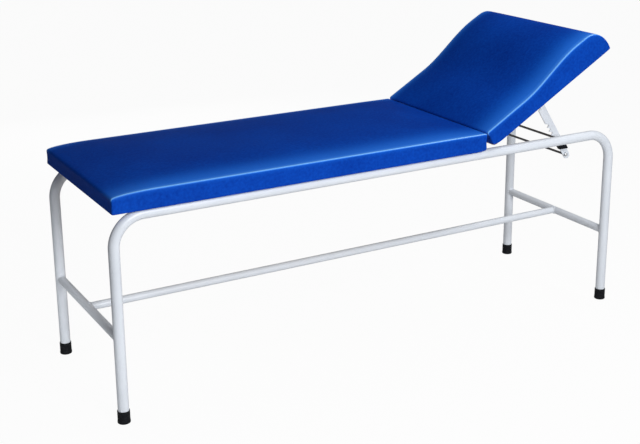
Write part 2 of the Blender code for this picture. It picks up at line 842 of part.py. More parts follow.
leaf_bottom = HINGE_DROP - 2 * GAP - LEAF_THICKNESS
screw = (SCREW_RADIUS, SCREW_HEAD_RADIUS, SCREW_HEAD_HEIGHT, SCREW_DEPTH, "zinc_steel")
screw_x = HINGE_SCREW_ALONG_RATIO * LEAF_LENGTH
screw_y = HINGE_SCREW_ACROSS_RATIO * LEAF_WIDTH
bracket_x = BRACKET_SCREW_ALONG_RATIO * BRACKET_LENGTH
for which, side in enumerate((-1, 1)):
    for number, offset in enumerate((-screw_y, screw_y), start=1):
        y = side * HINGE_Y + offset
        name = f"{side_name(side)}_{{}}_hinge_screw_{number}"
        bed_targets = (leaves["bed"][which], bed["cover"], bed["board"])
        bed_place = (HINGE_X - screw_x, y, HINGE_Z + leaf_bottom)
        fastener(name.format("bed"), *screw, bed_targets, None, bed_place)
        head_targets = (leaves["head"][which], head["cover"], head["board"])
        fastener(name.format("head"), *screw, head_targets, head_axis, (screw_x, y, leaf_bottom))
    flange_bottom = flange_top - BRACKET_THICKNESS - GAP
    y = side * (ear_outer + (FLANGE_WIDTH - BRACKET_THICKNESS) / 2)
    for number, offset in enumerate((-bracket_x, bracket_x), start=1):
        name = f"{side_name(side)}_rack_bracket_screw_{number}"
        targets = (brackets[which], head["board"])
        fastener(name, *screw, targets, head_axis, (PIVOT_ALONG + offset, y, flange_bottom))

bolt_length = BED_TUBE_DIAMETER + 2 * GAP + BOARD_BOTTOM + BED_BOLT_BITE
bolt = (BED_BOLT_RADIUS, BOLT_HEAD_RADIUS, BOLT_HEAD_HEIGHT, bolt_length, "zinc_steel")
for tube_name in ("bed_tube_foot", "bed_tube_middle"):
    for side in (-1, 1):
        name = tube_name.replace("tube", "bolt") + "_" + side_name(side)
        low = BED_TUBE_Z - BED_TUBE_DIAMETER / 2 - GAP
        at = (BED_TUBES_X[tube_name], side * BED_BOLT_Y, low)
        fastener(name, *bolt, (bed_tubes[tube_name], bed["board"]), None, at)
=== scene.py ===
# %% [markdown]
# # An examination table, dressed for its portrait
#
# The imported CAD model gives every piece its place and its motion. This lesson makes the
# looks around it: smooth tubes with welds, stretched vinyl pads, rubber feet and steel
# fittings, each with a finish of its own. We begin by loading the frame, whose boxes give
# the sizes of the new pieces.

# %% Load the frame
import json
import math

import bmesh
import bpy
import numpy as np
from mathutils import Matrix, Vector

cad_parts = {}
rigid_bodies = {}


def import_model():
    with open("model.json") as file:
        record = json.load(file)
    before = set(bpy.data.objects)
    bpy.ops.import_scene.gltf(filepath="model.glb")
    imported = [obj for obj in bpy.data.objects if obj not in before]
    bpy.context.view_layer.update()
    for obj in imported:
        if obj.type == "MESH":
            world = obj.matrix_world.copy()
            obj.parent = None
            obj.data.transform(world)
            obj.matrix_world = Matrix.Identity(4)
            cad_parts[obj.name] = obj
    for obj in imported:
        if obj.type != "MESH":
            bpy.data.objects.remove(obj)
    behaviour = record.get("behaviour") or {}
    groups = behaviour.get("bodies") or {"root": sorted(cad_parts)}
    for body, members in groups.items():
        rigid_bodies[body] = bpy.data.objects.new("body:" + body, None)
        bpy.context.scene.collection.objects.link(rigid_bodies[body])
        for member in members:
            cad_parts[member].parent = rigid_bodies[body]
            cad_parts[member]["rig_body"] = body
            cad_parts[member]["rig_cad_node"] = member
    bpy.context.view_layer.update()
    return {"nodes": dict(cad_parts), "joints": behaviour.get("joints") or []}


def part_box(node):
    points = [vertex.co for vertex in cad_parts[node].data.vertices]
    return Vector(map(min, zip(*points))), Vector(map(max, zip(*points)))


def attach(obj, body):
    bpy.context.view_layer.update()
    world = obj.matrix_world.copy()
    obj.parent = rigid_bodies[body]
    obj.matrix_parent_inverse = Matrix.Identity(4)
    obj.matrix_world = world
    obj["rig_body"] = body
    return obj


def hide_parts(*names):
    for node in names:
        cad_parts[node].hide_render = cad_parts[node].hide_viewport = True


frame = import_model()

# %% [markdown]
# ## Camera
#
# The photograph looks down on the near left side from beyond the foot end. The lens and
# the place come from fitting the straight tubes, and the small shift stands for the way
# the picture was cropped. The camera comes first, so that each piece can be judged
# in its frame from then on.

# %% Camera
CAMERA_PLACE = Vector((-1.9639, -3.3347, 1.7186))
CAMERA_AZIMUTH = math.radians(-29.996)
CAMERA_ELEVATION = math.radians(16.261)
CAMERA_ROLL = math.radians(-0.278)
CAMERA_SENSOR = 36.0
CAMERA_LENS = 66.407
CAMERA_SHIFT = (-0.0254, -0.09)

bpy.ops.object.select_all(action="DESELECT")
bpy.ops.object.camera_add()
camera = bpy.context.object
camera.name = "camera"
camera.matrix_world = (
    Matrix.Translation(CAMERA_PLACE)
    @ Matrix.Rotation(CAMERA_AZIMUTH, 4, "Z")
    @ Matrix.Rotation(math.pi / 2 - CAMERA_ELEVATION, 4, "X")
    @ Matrix.Rotation(CAMERA_ROLL, 4, "Z")
)
camera.data.sensor_width = CAMERA_SENSOR
camera.data.lens = CAMERA_LENS
camera.data.shift_x, camera.data.shift_y = CAMERA_SHIFT
bpy.context.scene.camera = camera
bpy.context.scene.view_settings.view_transform = "Standard"
print("camera at", tuple(round(v, 3) for v in camera.location))

# %% [markdown]
# ## Finishes
#
# Every finish is a handful of nodes round one Principled shader. Written node by node
# that is long and hard to read, so one small class wraps a socket and lets us write the
# arithmetic as Python does, and one method adds any other node. What changes over the
# surface goes only to colour, roughness, coat and bump. What is the same all over is set
# on the shader itself.


# %% Shader arithmetic
class Flow:
    """A socket on its way through a finish, with the usual arithmetic on it."""

    def __init__(self, finish, socket):
        self.finish = finish
        self.socket = socket

    def maths(self, operation, first, second):
        return self.finish.node("ShaderNodeMath", {"operation": operation}, {0: first, 1: second})

    def __add__(self, other):
        return self.maths("ADD", self, other)

    def __mul__(self, other):
        return self.maths("MULTIPLY", self, other)

    __radd__ = __add__
    __rmul__ = __mul__


class Nodes:
    """A node tree. One method adds any node with its settings, its values and its links."""

    def __init__(self, tree):
        self.tree = tree

    def feed(self, socket, value):
        if isinstance(value, Flow):
            self.tree.links.new(value.socket, socket)
        else:
            socket.default_value = value

    def node(self, kind, settings, inputs, output=0):
        made = self.tree.nodes.new(kind)
        for key, value in settings.items():
            if key == "stops":
                ramp = made.color_ramp
                for stop, (at, shade) in zip((ramp.elements[0], ramp.elements[1]), value):
                    stop.position = at
                    stop.color = (*shade, 1.0)
            else:
                setattr(made, key, value)
        for key, value in inputs.items():
            self.feed(made.inputs[key], value)
        return Flow(self, made.outputs[output])


class Finish(Nodes):
    """One material: a Principled shader with constants on it, and nodes for what varies."""

    def __init__(self, name, colour, roughness, metallic=0.0):
        self.material = bpy.data.materials.new(name)
        self.material.use_nodes = True
        super().__init__(self.material.node_tree)
        self.shader = self.tree.nodes["Principled BSDF"]
        self.set("Base Color", (*colour, 1.0))
        self.set("Roughness", roughness)
        self.set("Metallic", metallic)

    def set(self, socket, value):
        self.feed(self.shader.inputs[socket], value)

    def place(self, stretch=(1.0, 1.0, 1.0)):
        spot = self.node("ShaderNodeTexCoord", {}, {}, "Object")
        return self.node("ShaderNodeMapping", {}, {"Vector": spot, "Scale": stretch})

    def noise(self, scale, detail=2.0, stretch=(1.0, 1.0, 1.0)):
        inputs = {"Vector": self.place(stretch), "Scale": scale, "Detail": detail}
        return self.node("ShaderNodeTexNoise", {}, inputs)

    def cells(self, scale, output="Distance"):
        inputs = {"Vector": self.place(), "Scale": scale}
        return self.node("ShaderNodeTexVoronoi", {}, inputs, output)

    def shades(self, value, dark, light, low=0.0, high=1.0):
        stops = [(low, dark), (high, light)]
        return self.node("ShaderNodeValToRGB", {"stops": stops}, {"Fac": value})

    def blend(self, share, first, second):
        """Mixes two colours. The Mix node's colour sockets are its inputs 6 and 7 and output 2."""
        return self.node("ShaderNodeMix", {"data_type": "RGBA"}, {0: share, 6: first, 7: second}, 2)

    def bump(self, height, strength, distance):
        inputs = {"Height": height, "Strength": strength, "Distance": distance}
        self.set("Normal", self.node("ShaderNodeBump", {}, inputs))


print("shader arithmetic ready")

# %% [markdown]
# ## Painted steel
#
# The frame is white with a cold cast, sprayed and baked. Baked paint dries with a faint
# orange peel, and years of mopping leave the surface a little uneven in gloss. A fine
# noise drives the bump and a broad one the gloss and the shade.

# %% White paint
white_paint = Finish("baked_white_paint", colour=(0.71, 0.755, 0.82), roughness=0.34)
peel = white_paint.noise(scale=420.0, detail=2.0)
patches = white_paint.noise(scale=7.0, detail=3.0)
paint_shade = white_paint.shades(patches, (0.70, 0.745, 0.81), (0.75, 0.795, 0.86), low=0.3, high=0.7)
white_paint.set("Base Color", paint_shade)
white_paint.set("Roughness", 0.28 + 0.14 * patches)
white_paint.bump(peel, strength=0.12, distance=0.00012)
print("made", white_paint.material.name)

# %% [markdown]
# ## Blue vinyl
#
# The pads are covered with a coated cloth that is embossed like fine leather. Cells of a
# Voronoi pattern a little over a millimetre across make the grain, a noise breaks up
# their evenness, and two broader ones let the colour drift and mottle as dyed vinyl does.
# Along the top edges a highlight and a soft glow beside it are painted into the colour,
# a paler and a brighter blue than the dye, and a coat shines there too. Where they
# fall comes from an attribute that the pads carry on their vertices.

# %% Blue vinyl
# Painted light: a brighter blue for the glow near the top edges and a pale blue for the highlight on
# them.
PAINTED_GLOW_BLUE = (0.006, 0.15, 0.76, 1.0)
PAINTED_HIGHLIGHT_BLUE = (0.24, 0.57, 0.98, 1.0)
PAINTED_GLOW_GAIN = 3.3
PAINTED_HIGHLIGHT_SHARE = 0.9
SHINE_SHARE = 0.5
blue_vinyl = Finish("grained_blue_vinyl", colour=(0.004, 0.060, 0.40), roughness=0.42)
blue_vinyl.set("Specular IOR Level", 0.015)
blue_vinyl.set("Coat Roughness", 0.3)
pebbles = blue_vinyl.cells(scale=760.0)
crinkle = blue_vinyl.noise(scale=1500.0, detail=1.0)
drift = blue_vinyl.noise(scale=5.0, detail=4.0)
mottle = blue_vinyl.noise(scale=120.0, detail=3.0)
grain = 0.75 * pebbles + 0.25 * crinkle
painted_highlight_and_coat = blue_vinyl.node("ShaderNodeAttribute", {"attribute_name": "stretch"}, {}, "Fac")
shade = 0.45 * drift + 0.55 * mottle
dyed = blue_vinyl.shades(shade, (0.002, 0.035, 0.31), (0.004, 0.069, 0.48), low=0.30, high=0.70)
# The colour is lifted to the glow blue and then to the highlight blue where the attribute is high:
# painted glow and painted highlight.
painted_glow = blue_vinyl.blend(PAINTED_GLOW_GAIN * painted_highlight_and_coat, dyed, PAINTED_GLOW_BLUE)
blue_vinyl.set("Base Color", blue_vinyl.blend(PAINTED_HIGHLIGHT_SHARE * painted_highlight_and_coat * painted_highlight_and_coat, painted_glow, PAINTED_HIGHLIGHT_BLUE))
blue_vinyl.set("Coat Weight", SHINE_SHARE * painted_highlight_and_coat)
blue_vinyl.set("Roughness", 0.42 + 0.08 * drift + 0.06 * pebbles)
blue_vinyl.bump(grain, strength=0.10, distance=0.0006)
print("made", blue_vinyl.material.name)

# %% [markdown]
# ## Rubber, steel and plywood
#
# The feet and the sleeves are moulded black rubber with a fine speckle. The rods are dark
# drawn steel with streaks along their length. Hinges and screws are zinc plated, which
# shows as faint crystal patches. The boards are bare plywood with the grain running along
# the table.

# %% Rubber, steel and plywood
black_rubber = Finish("moulded_black_rubber", colour=(0.007, 0.008, 0.010), roughness=0.6)
black_rubber.set("Specular IOR Level", 0.15)
speckle = black_rubber.noise(scale=260.0, detail=3.0)
rubber_shade = black_rubber.shades(
    speckle, (0.004, 0.005, 0.007), (0.009, 0.010, 0.013), low=0.35, high=0.75
)
black_rubber.set("Base Color", rubber_shade)
black_rubber.set("Roughness", 0.5 + 0.2 * speckle)
black_rubber.bump(black_rubber.noise(scale=900.0, detail=1.0), strength=0.15, distance=0.0005)

dark_steel = Finish("drawn_dark_steel", colour=(0.15, 0.15, 0.16), roughness=0.38, metallic=0.8)
streaks = dark_steel.noise(scale=240.0, detail=3.0, stretch=(1.0, 0.04, 1.0))
steel_shade = dark_steel.shades(streaks, (0.10, 0.10, 0.108), (0.20, 0.20, 0.21), low=0.3, high=0.7)
dark_steel.set("Base Color", steel_shade)
dark_steel.set("Roughness", 0.28 + 0.2 * streaks)

zinc_steel = Finish("plated_zinc_steel", colour=(0.62, 0.63, 0.64), roughness=0.34, metallic=1.0)
spangle = zinc_steel.cells(scale=260.0, output="Color")
zinc_steel.set("Base Color", zinc_steel.shades(spangle, (0.50, 0.51, 0.53), (0.70, 0.71, 0.72)))
zinc_steel.set("Roughness", 0.26 + 0.16 * zinc_steel.noise(scale=90.0, detail=3.0))

plywood = Finish("bare_plywood", colour=(0.50, 0.33, 0.17), roughness=0.62)
rings = plywood.noise(scale=38.0, detail=5.0, stretch=(0.06, 1.0, 1.0))
fibres = plywood.noise(scale=700.0, detail=2.0, stretch=(0.02, 1.0, 1.0))
figure = 0.75 * rings + 0.25 * fibres
wood_shade = plywood.shades(figure, (0.30, 0.17, 0.075), (0.60, 0.42, 0.23), low=0.3, high=0.7)
plywood.set("Base Color", wood_shade)
plywood.set("Roughness", 0.55 + 0.2 * fibres)
plywood.bump(fibres, strength=0.2, distance=0.0004)
print("made", [f.material.name for f in (black_rubber, dark_steel, zinc_steel, plywood)])

# %% [markdown]
# ## A maker's hands
#
# A few helpers do what a hand does in the viewport: clear the selection, take the new
# piece into edit mode, apply its place and its modifiers, and turn its faces outwards.

# %% Helpers
MERGE_DISTANCE = 0.00001


def clear():
    if bpy.context.mode != "OBJECT":
        bpy.ops.object.mode_set(mode="OBJECT")
    bpy.ops.object.select_all(action="DESELECT")


def take(name, editing=True):
    """Names the piece that was just added and opens it for editing."""
    piece = bpy.context.object
    piece.name = piece.data.name = name
    if editing:
        bpy.ops.object.mode_set(mode="EDIT")
    return piece


def choose(piece):
    clear()
    piece.select_set(True)
    bpy.context.view_layer.objects.active = piece


def apply_place(piece):
    choose(piece)
    bpy.ops.object.transform_apply(location=True, rotation=True, scale=True)


def apply_modifiers(piece):
    choose(piece)
    for modifier in list(piece.modifiers):
        bpy.ops.object.modifier_apply(modifier=modifier.name)


def outward(piece):
    """Merges doubles and turns the faces outwards."""
    choose(piece)
    bpy.ops.object.mode_set(mode="EDIT")
    bpy.ops.mesh.select_all(action="SELECT")
    bpy.ops.mesh.remove_doubles(threshold=MERGE_DISTANCE)
    bpy.ops.mesh.normals_make_consistent(inside=False)
    bpy.ops.object.mode_set(mode="OBJECT")


print("helpers ready")

# %% [markdown]
# ## Finishing a piece
#
# These helpers round a piece off. One breaks its edges with a bevel, one smooths it, gives
# it a finish and lets it ride on its body of the table, and one pulls a round piece up ring
# by ring, much as a lathe would turn it. The last two move a piece and copy it.

# %% Finishing a piece
BEVEL_ANGLE = math.radians(35)
SMOOTH_ANGLE = math.radians(32)


def bevelled(piece, width, segments=2):
    bevel = piece.modifiers.new("edges", "BEVEL")
    bevel.width = width
    bevel.segments = segments
    bevel.limit_method = "ANGLE"
    bevel.angle_limit = BEVEL_ANGLE
    apply_modifiers(piece)


def dress(piece, finish, slot, body, *nodes):
    """Smooths a finished piece, paints it, and lets it ride in place of its CAD nodes."""
    choose(piece)
    bpy.ops.object.shade_smooth_by_angle(angle=SMOOTH_ANGLE)
    piece.data.materials.clear()
    piece.data.materials.append(finish.material)
    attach(piece, body)
    if nodes:
        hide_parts(*nodes)
    return piece


def turned(name, rings, sides=32):
    """A round piece pulled up ring by ring from a disc: (radius, height) pairs from its foot."""
    clear()
    radius, height = rings[0]
    bpy.ops.mesh.primitive_circle_add(
        vertices=sides, radius=radius, fill_type="NGON", location=(0, 0, height)
    )
    piece = take(name)
    for wide, high in rings[1:]:
        bpy.ops.mesh.extrude_region_move(TRANSFORM_OT_translate={"value": (0, 0, high - height)})
        share = wide / radius
        bpy.ops.transform.resize(value=(share, share, 1), center_override=(0, 0, high))
        radius, height = wide, high
    bpy.ops.object.mode_set(mode="OBJECT")
    apply_place(piece)
    outward(piece)
    return piece


def set_down(piece, place):
    """Moves a finished piece to its place and writes the place into its mesh."""
    piece.data.transform(place)
    piece.data.update()
    return piece


def copy_of(piece, name):
    twin = piece.copy()
    twin.data = piece.data.copy()
    twin.name = twin.data.name = name
    bpy.context.scene.collection.objects.link(twin)
    return twin


print("finishing helpers ready")

# %% [markdown]
# ## Side frames
#
# Each side of the frame is one tube: up a leg, round a bend, along the rail, round the
# other bend and down. On the bench it is bent on a mandrel, and in edit mode it is much
# the same: a circle is extruded along the straights and spun round the bends. A wall
# inside then makes it a real tube. Its diameter and its reach are read off the CAD piece's
# box.

# %% Side frames
TUBE_WALL = 0.0015
BEND_RADIUS = 0.095
TUBE_SIDES = 48
LONGEST_STEP = 0.06
BEND_STEPS = 24
SIDES = (("left", -1), ("right", 1))
ENDS = (("foot", -1), ("head", 1))

side_low, side_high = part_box("right_side_frame")
TUBE_RADIUS = (side_high.y - side_low.y) / 2
LEG_X = side_high.x - TUBE_RADIUS
SIDE_Y = side_high.y - TUBE_RADIUS
RAIL_Z = side_high.z - TUBE_RADIUS
LEG_FOOT = side_low.z


def extrude(*way):
    """Extrudes what is selected in short steps, so that no face is long and thin."""
    count = math.ceil(Vector(way).length / LONGEST_STEP)
    for _ in range(count):
        bpy.ops.mesh.extrude_region_move(TRANSFORM_OT_translate={"value": Vector(way) / count})


def walled(piece, wall):
    outward(piece)
    skin = piece.modifiers.new("wall", "SOLIDIFY")
    skin.thickness = wall
    skin.offset = -1.0
    apply_modifiers(piece)


straight = RAIL_Z - BEND_RADIUS - LEG_FOOT
for side_name, side in SIDES:
    clear()
    start = (-LEG_X, side * SIDE_Y, LEG_FOOT)
    bpy.ops.mesh.primitive_circle_add(vertices=TUBE_SIDES, radius=TUBE_RADIUS, location=start)
    tube = take(side_name + "_tube")
    extrude(0, 0, straight)
    for end in (-1, 1):
        centre = (end * (LEG_X - BEND_RADIUS), side * SIDE_Y, RAIL_Z - BEND_RADIUS)
        bpy.ops.mesh.spin(steps=BEND_STEPS, angle=math.radians(90), center=centre, axis=(0, -1, 0))
        if end < 0:
            extrude(2 * (LEG_X - BEND_RADIUS), 0, 0)
    extrude(0, 0, -straight)
    bpy.ops.object.mode_set(mode="OBJECT")
    apply_place(tube)
    walled(tube, TUBE_WALL)
    dress(tube, white_paint, "white_paint", "frame", side_name + "_side_frame")
    print(tube.name, len(tube.data.polygons), "faces, radius", round(TUBE_RADIUS, 5))

# %% [markdown]
# ## Crossbars and stretcher
#
# The straight tubes are coped: their ends are cut to sit round the tube that they meet.
# A boolean with a cylinder of the other tube's size makes that cut exactly as a hole saw
# does. The bed tubes under the pad are made in the same way, and so are the bars low
# down at both ends.

# %% Crossbars and stretcher
COPE_GAP = 0.0002
CUTTER_SIDES = 96
LEG_CUT = 0.2
RAIL_CUT = 1.0
QUARTER = math.radians(90)
ALONG_X = (0, QUARTER, 0)
ALONG_Y = (QUARTER, 0, 0)


def level_tube(node):
    """The middle and the radius of a level CAD tube, from its box."""
    low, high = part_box(node)
    return (low + high) / 2, (high.z - low.z) / 2


crossbar_middle, CROSSBAR_RADIUS = level_tube("head_end_crossbar")
CROSSBAR_Z = crossbar_middle.z
STRETCHER_RADIUS = level_tube("centre_stretcher")[1]


def cutter(radius, length, centre, turn=(0, 0, 0)):
    clear()
    bpy.ops.mesh.primitive_cylinder_add(
        vertices=CUTTER_SIDES, radius=radius + COPE_GAP, depth=length, location=centre, rotation=turn
    )
    return take("cutter", editing=False)


def coped(piece, cutters):
    for tool in cutters:
        cut = piece.modifiers.new("cope", "BOOLEAN")
        cut.operation = "DIFFERENCE"
        cut.object = tool
        cut.solver = "EXACT"
    apply_modifiers(piece)
    for tool in cutters:
        bpy.data.objects.remove(tool, do_unlink=True)


def straight_tube(name, start, way, radius, turn, cutters, node):
    clear()
    bpy.ops.mesh.primitive_circle_add(vertices=TUBE_SIDES, radius=radius, location=start, rotation=turn)
    bar = take(name)
    extrude(*way)
    bpy.ops.object.mode_set(mode="OBJECT")
    apply_place(bar)
    walled(bar, TUBE_WALL)
    coped(bar, cutters)
    return dress(bar, white_paint, "white_paint", "frame", node)


for end_name, end in ENDS:
    legs = [cutter(TUBE_RADIUS, LEG_CUT, (end * LEG_X, s * SIDE_Y, CROSSBAR_Z)) for _, s in SIDES]
    straight_tube(
        end_name + "_bar",
        (end * LEG_X, -SIDE_Y, CROSSBAR_Z),
        (0, 2 * SIDE_Y, 0),
        CROSSBAR_RADIUS,
        ALONG_Y,
        legs,
        end_name + "_end_crossbar",
    )
bars = [cutter(CROSSBAR_RADIUS, LEG_CUT, (e * LEG_X, 0, CROSSBAR_Z), ALONG_Y) for _, e in ENDS]
straight_tube(
    "stretcher",
    (-LEG_X, 0, CROSSBAR_Z),
    (2 * LEG_X, 0, 0),
    STRETCHER_RADIUS,
    ALONG_X,
    bars,
    "centre_stretcher",
)
for node in ("bed_tube_foot", "bed_tube_middle", "bed_tube_hinge"):
    middle, radius = level_tube(node)
    rails = [cutter(TUBE_RADIUS, RAIL_CUT, (middle.x, s * SIDE_Y, RAIL_Z), ALONG_X) for _, s in SIDES]
    straight_tube(
        node.replace("bed_tube", "under_tube"),
        (middle.x, -SIDE_Y, middle.z),
        (0, 2 * SIDE_Y, 0),
        radius,
        ALONG_Y,
        rails,
        node,
    )
print("straight tubes coped")

# %% [markdown]
# ## Welds
#
# Where a bar meets a leg there is a bead of weld under the paint. A torus has the right
# section, and sinking each of its points onto the round of the leg gives the saddle that
# a real bead follows. A slow wave along it leaves the ripples of the torch.

# %% Welds
BEAD = 0.0024
BEAD_OUT = 0.3
RIPPLE = 0.12
RIPPLES_PER_METRE = 1400
WIDEST = 0.97


def weld(name, centre, facing, bar_radius, leg_radius, leg_axis):
    """A bead round a bar that leaves a tube. facing points from the joint along the bar."""
    facing = Vector(facing)
    across = Vector(leg_axis).cross(facing)
    middle_radius = bar_radius + BEAD_OUT * BEAD
    clear()
    bpy.ops.mesh.primitive_torus_add(
        major_radius=middle_radius, minor_radius=BEAD, major_segments=72, minor_segments=10
    )
    ring = take(name, editing=False)
    turn = facing.to_track_quat("Z", "Y").to_matrix()
    ripples = round(bar_radius * RIPPLES_PER_METRE)
    for vertex in ring.data.vertices:
        angle = math.atan2(vertex.co.y, vertex.co.x)
        middle = Vector((math.cos(angle), math.sin(angle), 0)) * middle_radius
        swell = 1 + RIPPLE * math.cos(ripples * angle)
        point = turn @ (middle + (vertex.co - middle) * swell)
        sideways = max(-WIDEST, min(WIDEST, point.dot(across) / leg_radius))
        vertex.co = point + facing * (leg_radius * math.sqrt(1 - sideways * sideways))
    return set_down(ring, Matrix.Translation(centre))


welds = []
for end_name, end in ENDS:
    for side_name, side in SIDES:
        spot = (end * LEG_X, side * SIDE_Y, CROSSBAR_Z)
        name = f"weld_{end_name}_{side_name}"
        welds.append(weld(name, spot, (0, -side, 0), CROSSBAR_RADIUS, TUBE_RADIUS, (0, 0, 1)))
    spot = (end * LEG_X, 0, CROSSBAR_Z)
    name = f"weld_stretcher_{end_name}"
    welds.append(weld(name, spot, (-end, 0, 0), STRETCHER_RADIUS, CROSSBAR_RADIUS, (0, 1, 0)))
for bead_ring in welds:
    outward(bead_ring)
    dress(bead_ring, white_paint, "white_paint", "frame")
print(len(welds), "welds")

# %% [markdown]
# ## Rubber feet
#
# Each leg stands in a moulded cup. Seen close, it has a rounded lip, two shallow grip
# grooves and a foot that flares a little where it meets the floor. It is pulled up ring by
# ring from its flat underside and then down inside to the cup's floor, so it is one
# closed body. Each ring is written as how far it lies inside the widest one.

# %% Rubber feet
foot_low, foot_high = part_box("rubber_foot_head_right")
FOOT_RADIUS = (foot_high.x - foot_low.x) / 2
FOOT_HEIGHT = foot_high.z
FOOT_SIDES = 64
CUP_GAP = 0.0002
CUP_FLOOR = 0.006
FLARE = ((0.0020, 0.0), (0.0010, 0.0004), (0.0003, 0.0012), (0.0, 0.0026), (0.0, 0.0058))
WALL_INSET = 0.0007
WALL_START = 0.0095
GROOVES = (0.014, 0.022)
GROOVE_DEPTH = 0.0004
GROOVE_STEPS = ((0.0, -0.0014), (1.0, -0.0007), (1.0, 0.0007), (0.0, 0.0014))
LIP = ((0.0008, 0.0012), (0.0012, 0.0004), (0.0018, 0.0))
foot_profile = [*FLARE, (WALL_INSET, WALL_START)]
for groove in GROOVES:
    for depth, rise in GROOVE_STEPS:
        foot_profile.append((WALL_INSET + depth * GROOVE_DEPTH, groove + rise))
foot_profile += [(inset, FOOT_HEIGHT - drop) for inset, drop in LIP]
foot_rings = [(FOOT_RADIUS - inset, height) for inset, height in foot_profile]
cup_radius = TUBE_RADIUS + CUP_GAP
foot_rings += [(cup_radius, FOOT_HEIGHT), (cup_radius, CUP_FLOOR)]
for end_name, end in ENDS:
    for side_name, side in SIDES:
        foot = turned(f"{end_name}_{side_name}_rubber_foot", foot_rings, FOOT_SIDES)
        set_down(foot, Matrix.Translation((end * LEG_X, side * SIDE_Y, 0)))
        dress(foot, black_rubber, "black_rubber", "frame", f"rubber_foot_{end_name}_{side_name}")
print("rubber feet with", len(foot_rings), "rings each")

# %% [markdown]
# ## Pads
#
# A pad is foam glued to a board, with vinyl pulled over it and stapled underneath. Its
# shape starts as a sheet of quads that follows the long profile of the pad and rounds
# over at its edges, then runs down the sides, under the board as a hem, and up into the
# pocket that holds the board. Cloth simulation then blows the top up a little, as the
# foam does, with the hem and the edges held still. Last comes one subdivision. On the
# way, each vertex notes where the painted highlight and the painted glow fall, for the
# finish to use. The painted glow reaches further in on the near side than on the far side.

# %% Edges, painted highlight and glow
EDGE_ROUND = 0.0065
CORNER_ROUND = 0.006
CELL = 0.0135
# Where the painted highlight lies on the edge's round and how wide it is on each side, then the painted
# glow beside it and how far in it reaches on the near and the far side.
RIDGE_PLACE = 0.50
RIDGE_OUTER = 0.28
RIDGE_INNER = 0.55
PAINTED_GLOW_SHARE = 0.27
NEAR_PAINTED_GLOW_REACH = 0.070
FAR_PAINTED_GLOW_REACH = 0.030
ARC = [1 - math.cos(math.radians(15 * k)) for k in range(7)]


def round_fall(distance, across, down):
    """How far an elliptical edge has fallen at a distance in from the end."""
    inside = max(0.0, 1.0 - distance / across)
    return down * (1.0 - math.sqrt(max(0.0, 1.0 - inside * inside)))


def ease(value):
    value = min(1.0, max(0.0, value))
    return value * value * (3.0 - 2.0 * value)


def lines(start, end, near, far):
    """Places of the sheet's lines: close together over both edges and even between."""
    first = [start + near * step for step in ARC]
    last = [end - far * step for step in reversed(ARC)]
    count = max(2, round((last[0] - first[-1]) / CELL))
    between = [first[-1] + (last[0] - first[-1]) * k / count for k in range(1, count)]
    return first + between + last


def rounded_plan(u, v, low, high, half):
    """Rounds the corners of the plan by pressing each square corner onto a quarter disc."""
    inner_u = min(max(u, low + CORNER_ROUND), high - CORNER_ROUND)
    inner_v = min(max(v, CORNER_ROUND - half), half - CORNER_ROUND)
    du, dv = u - inner_u, v - inner_v
    far = math.hypot(du, dv)
    if far == 0.0:
        return u, v
    press = max(abs(du), abs(dv)) / far
    return inner_u + du * press, inner_v + dv * press


def painted_highlight_and_coat_at(v, half, edge):
    """Painted highlight and glow, and the coat's share: most on the edge's ridge, fading inwards."""
    distance = half - abs(v)
    over = distance / edge - RIDGE_PLACE
    ridge = math.exp(-((over / (RIDGE_INNER if over > 0 else RIDGE_OUTER)) ** 2))
    reach = NEAR_PAINTED_GLOW_REACH if v < 0 else FAR_PAINTED_GLOW_REACH
    return max(ridge, PAINTED_GLOW_SHARE * ease(2 * over) * math.exp(-((distance / reach) ** 2)))


print("edge arithmetic ready")

# %% [markdown]
# ## The pad's skin
#
# The grid of the top comes first, row by row along the pad. Rings of new vertices then
# carry its rim down the sides, round the bottom edge, under the board as the hem and up
# into the pocket. The board covers the pocket's floor, so it can wait until the end.

# %% Pad skin
EDGE_SHARE = 0.6
CROWN = 0.010
CROWN_POWER = 4
CROWN_EASE = 0.15
BOTTOM_ROUND = 0.003
BOTTOM_BLEND = 0.03
SIDE_DRAW = 0.0012
SIDE_SHARES = (0.8, 0.6, 0.4, 0.2)
UNDER_DEGREES = (90, 60, 30, 0)
HEM = 0.035
VINYL = 0.0012
POCKET_STEP = 0.0001
BOARD_TOP = 0.0168
BOARD_MARGIN = 0.0027


def edge_band(grid):
    """The numbers of the vertices on the rounded edges of the top, which the foam holds."""
    steps = len(ARC) - 1
    inner = {vert for row in grid[steps:-steps] for vert in row[steps:-steps]}
    return {vert.index for row in grid for vert in row if vert not in inner}


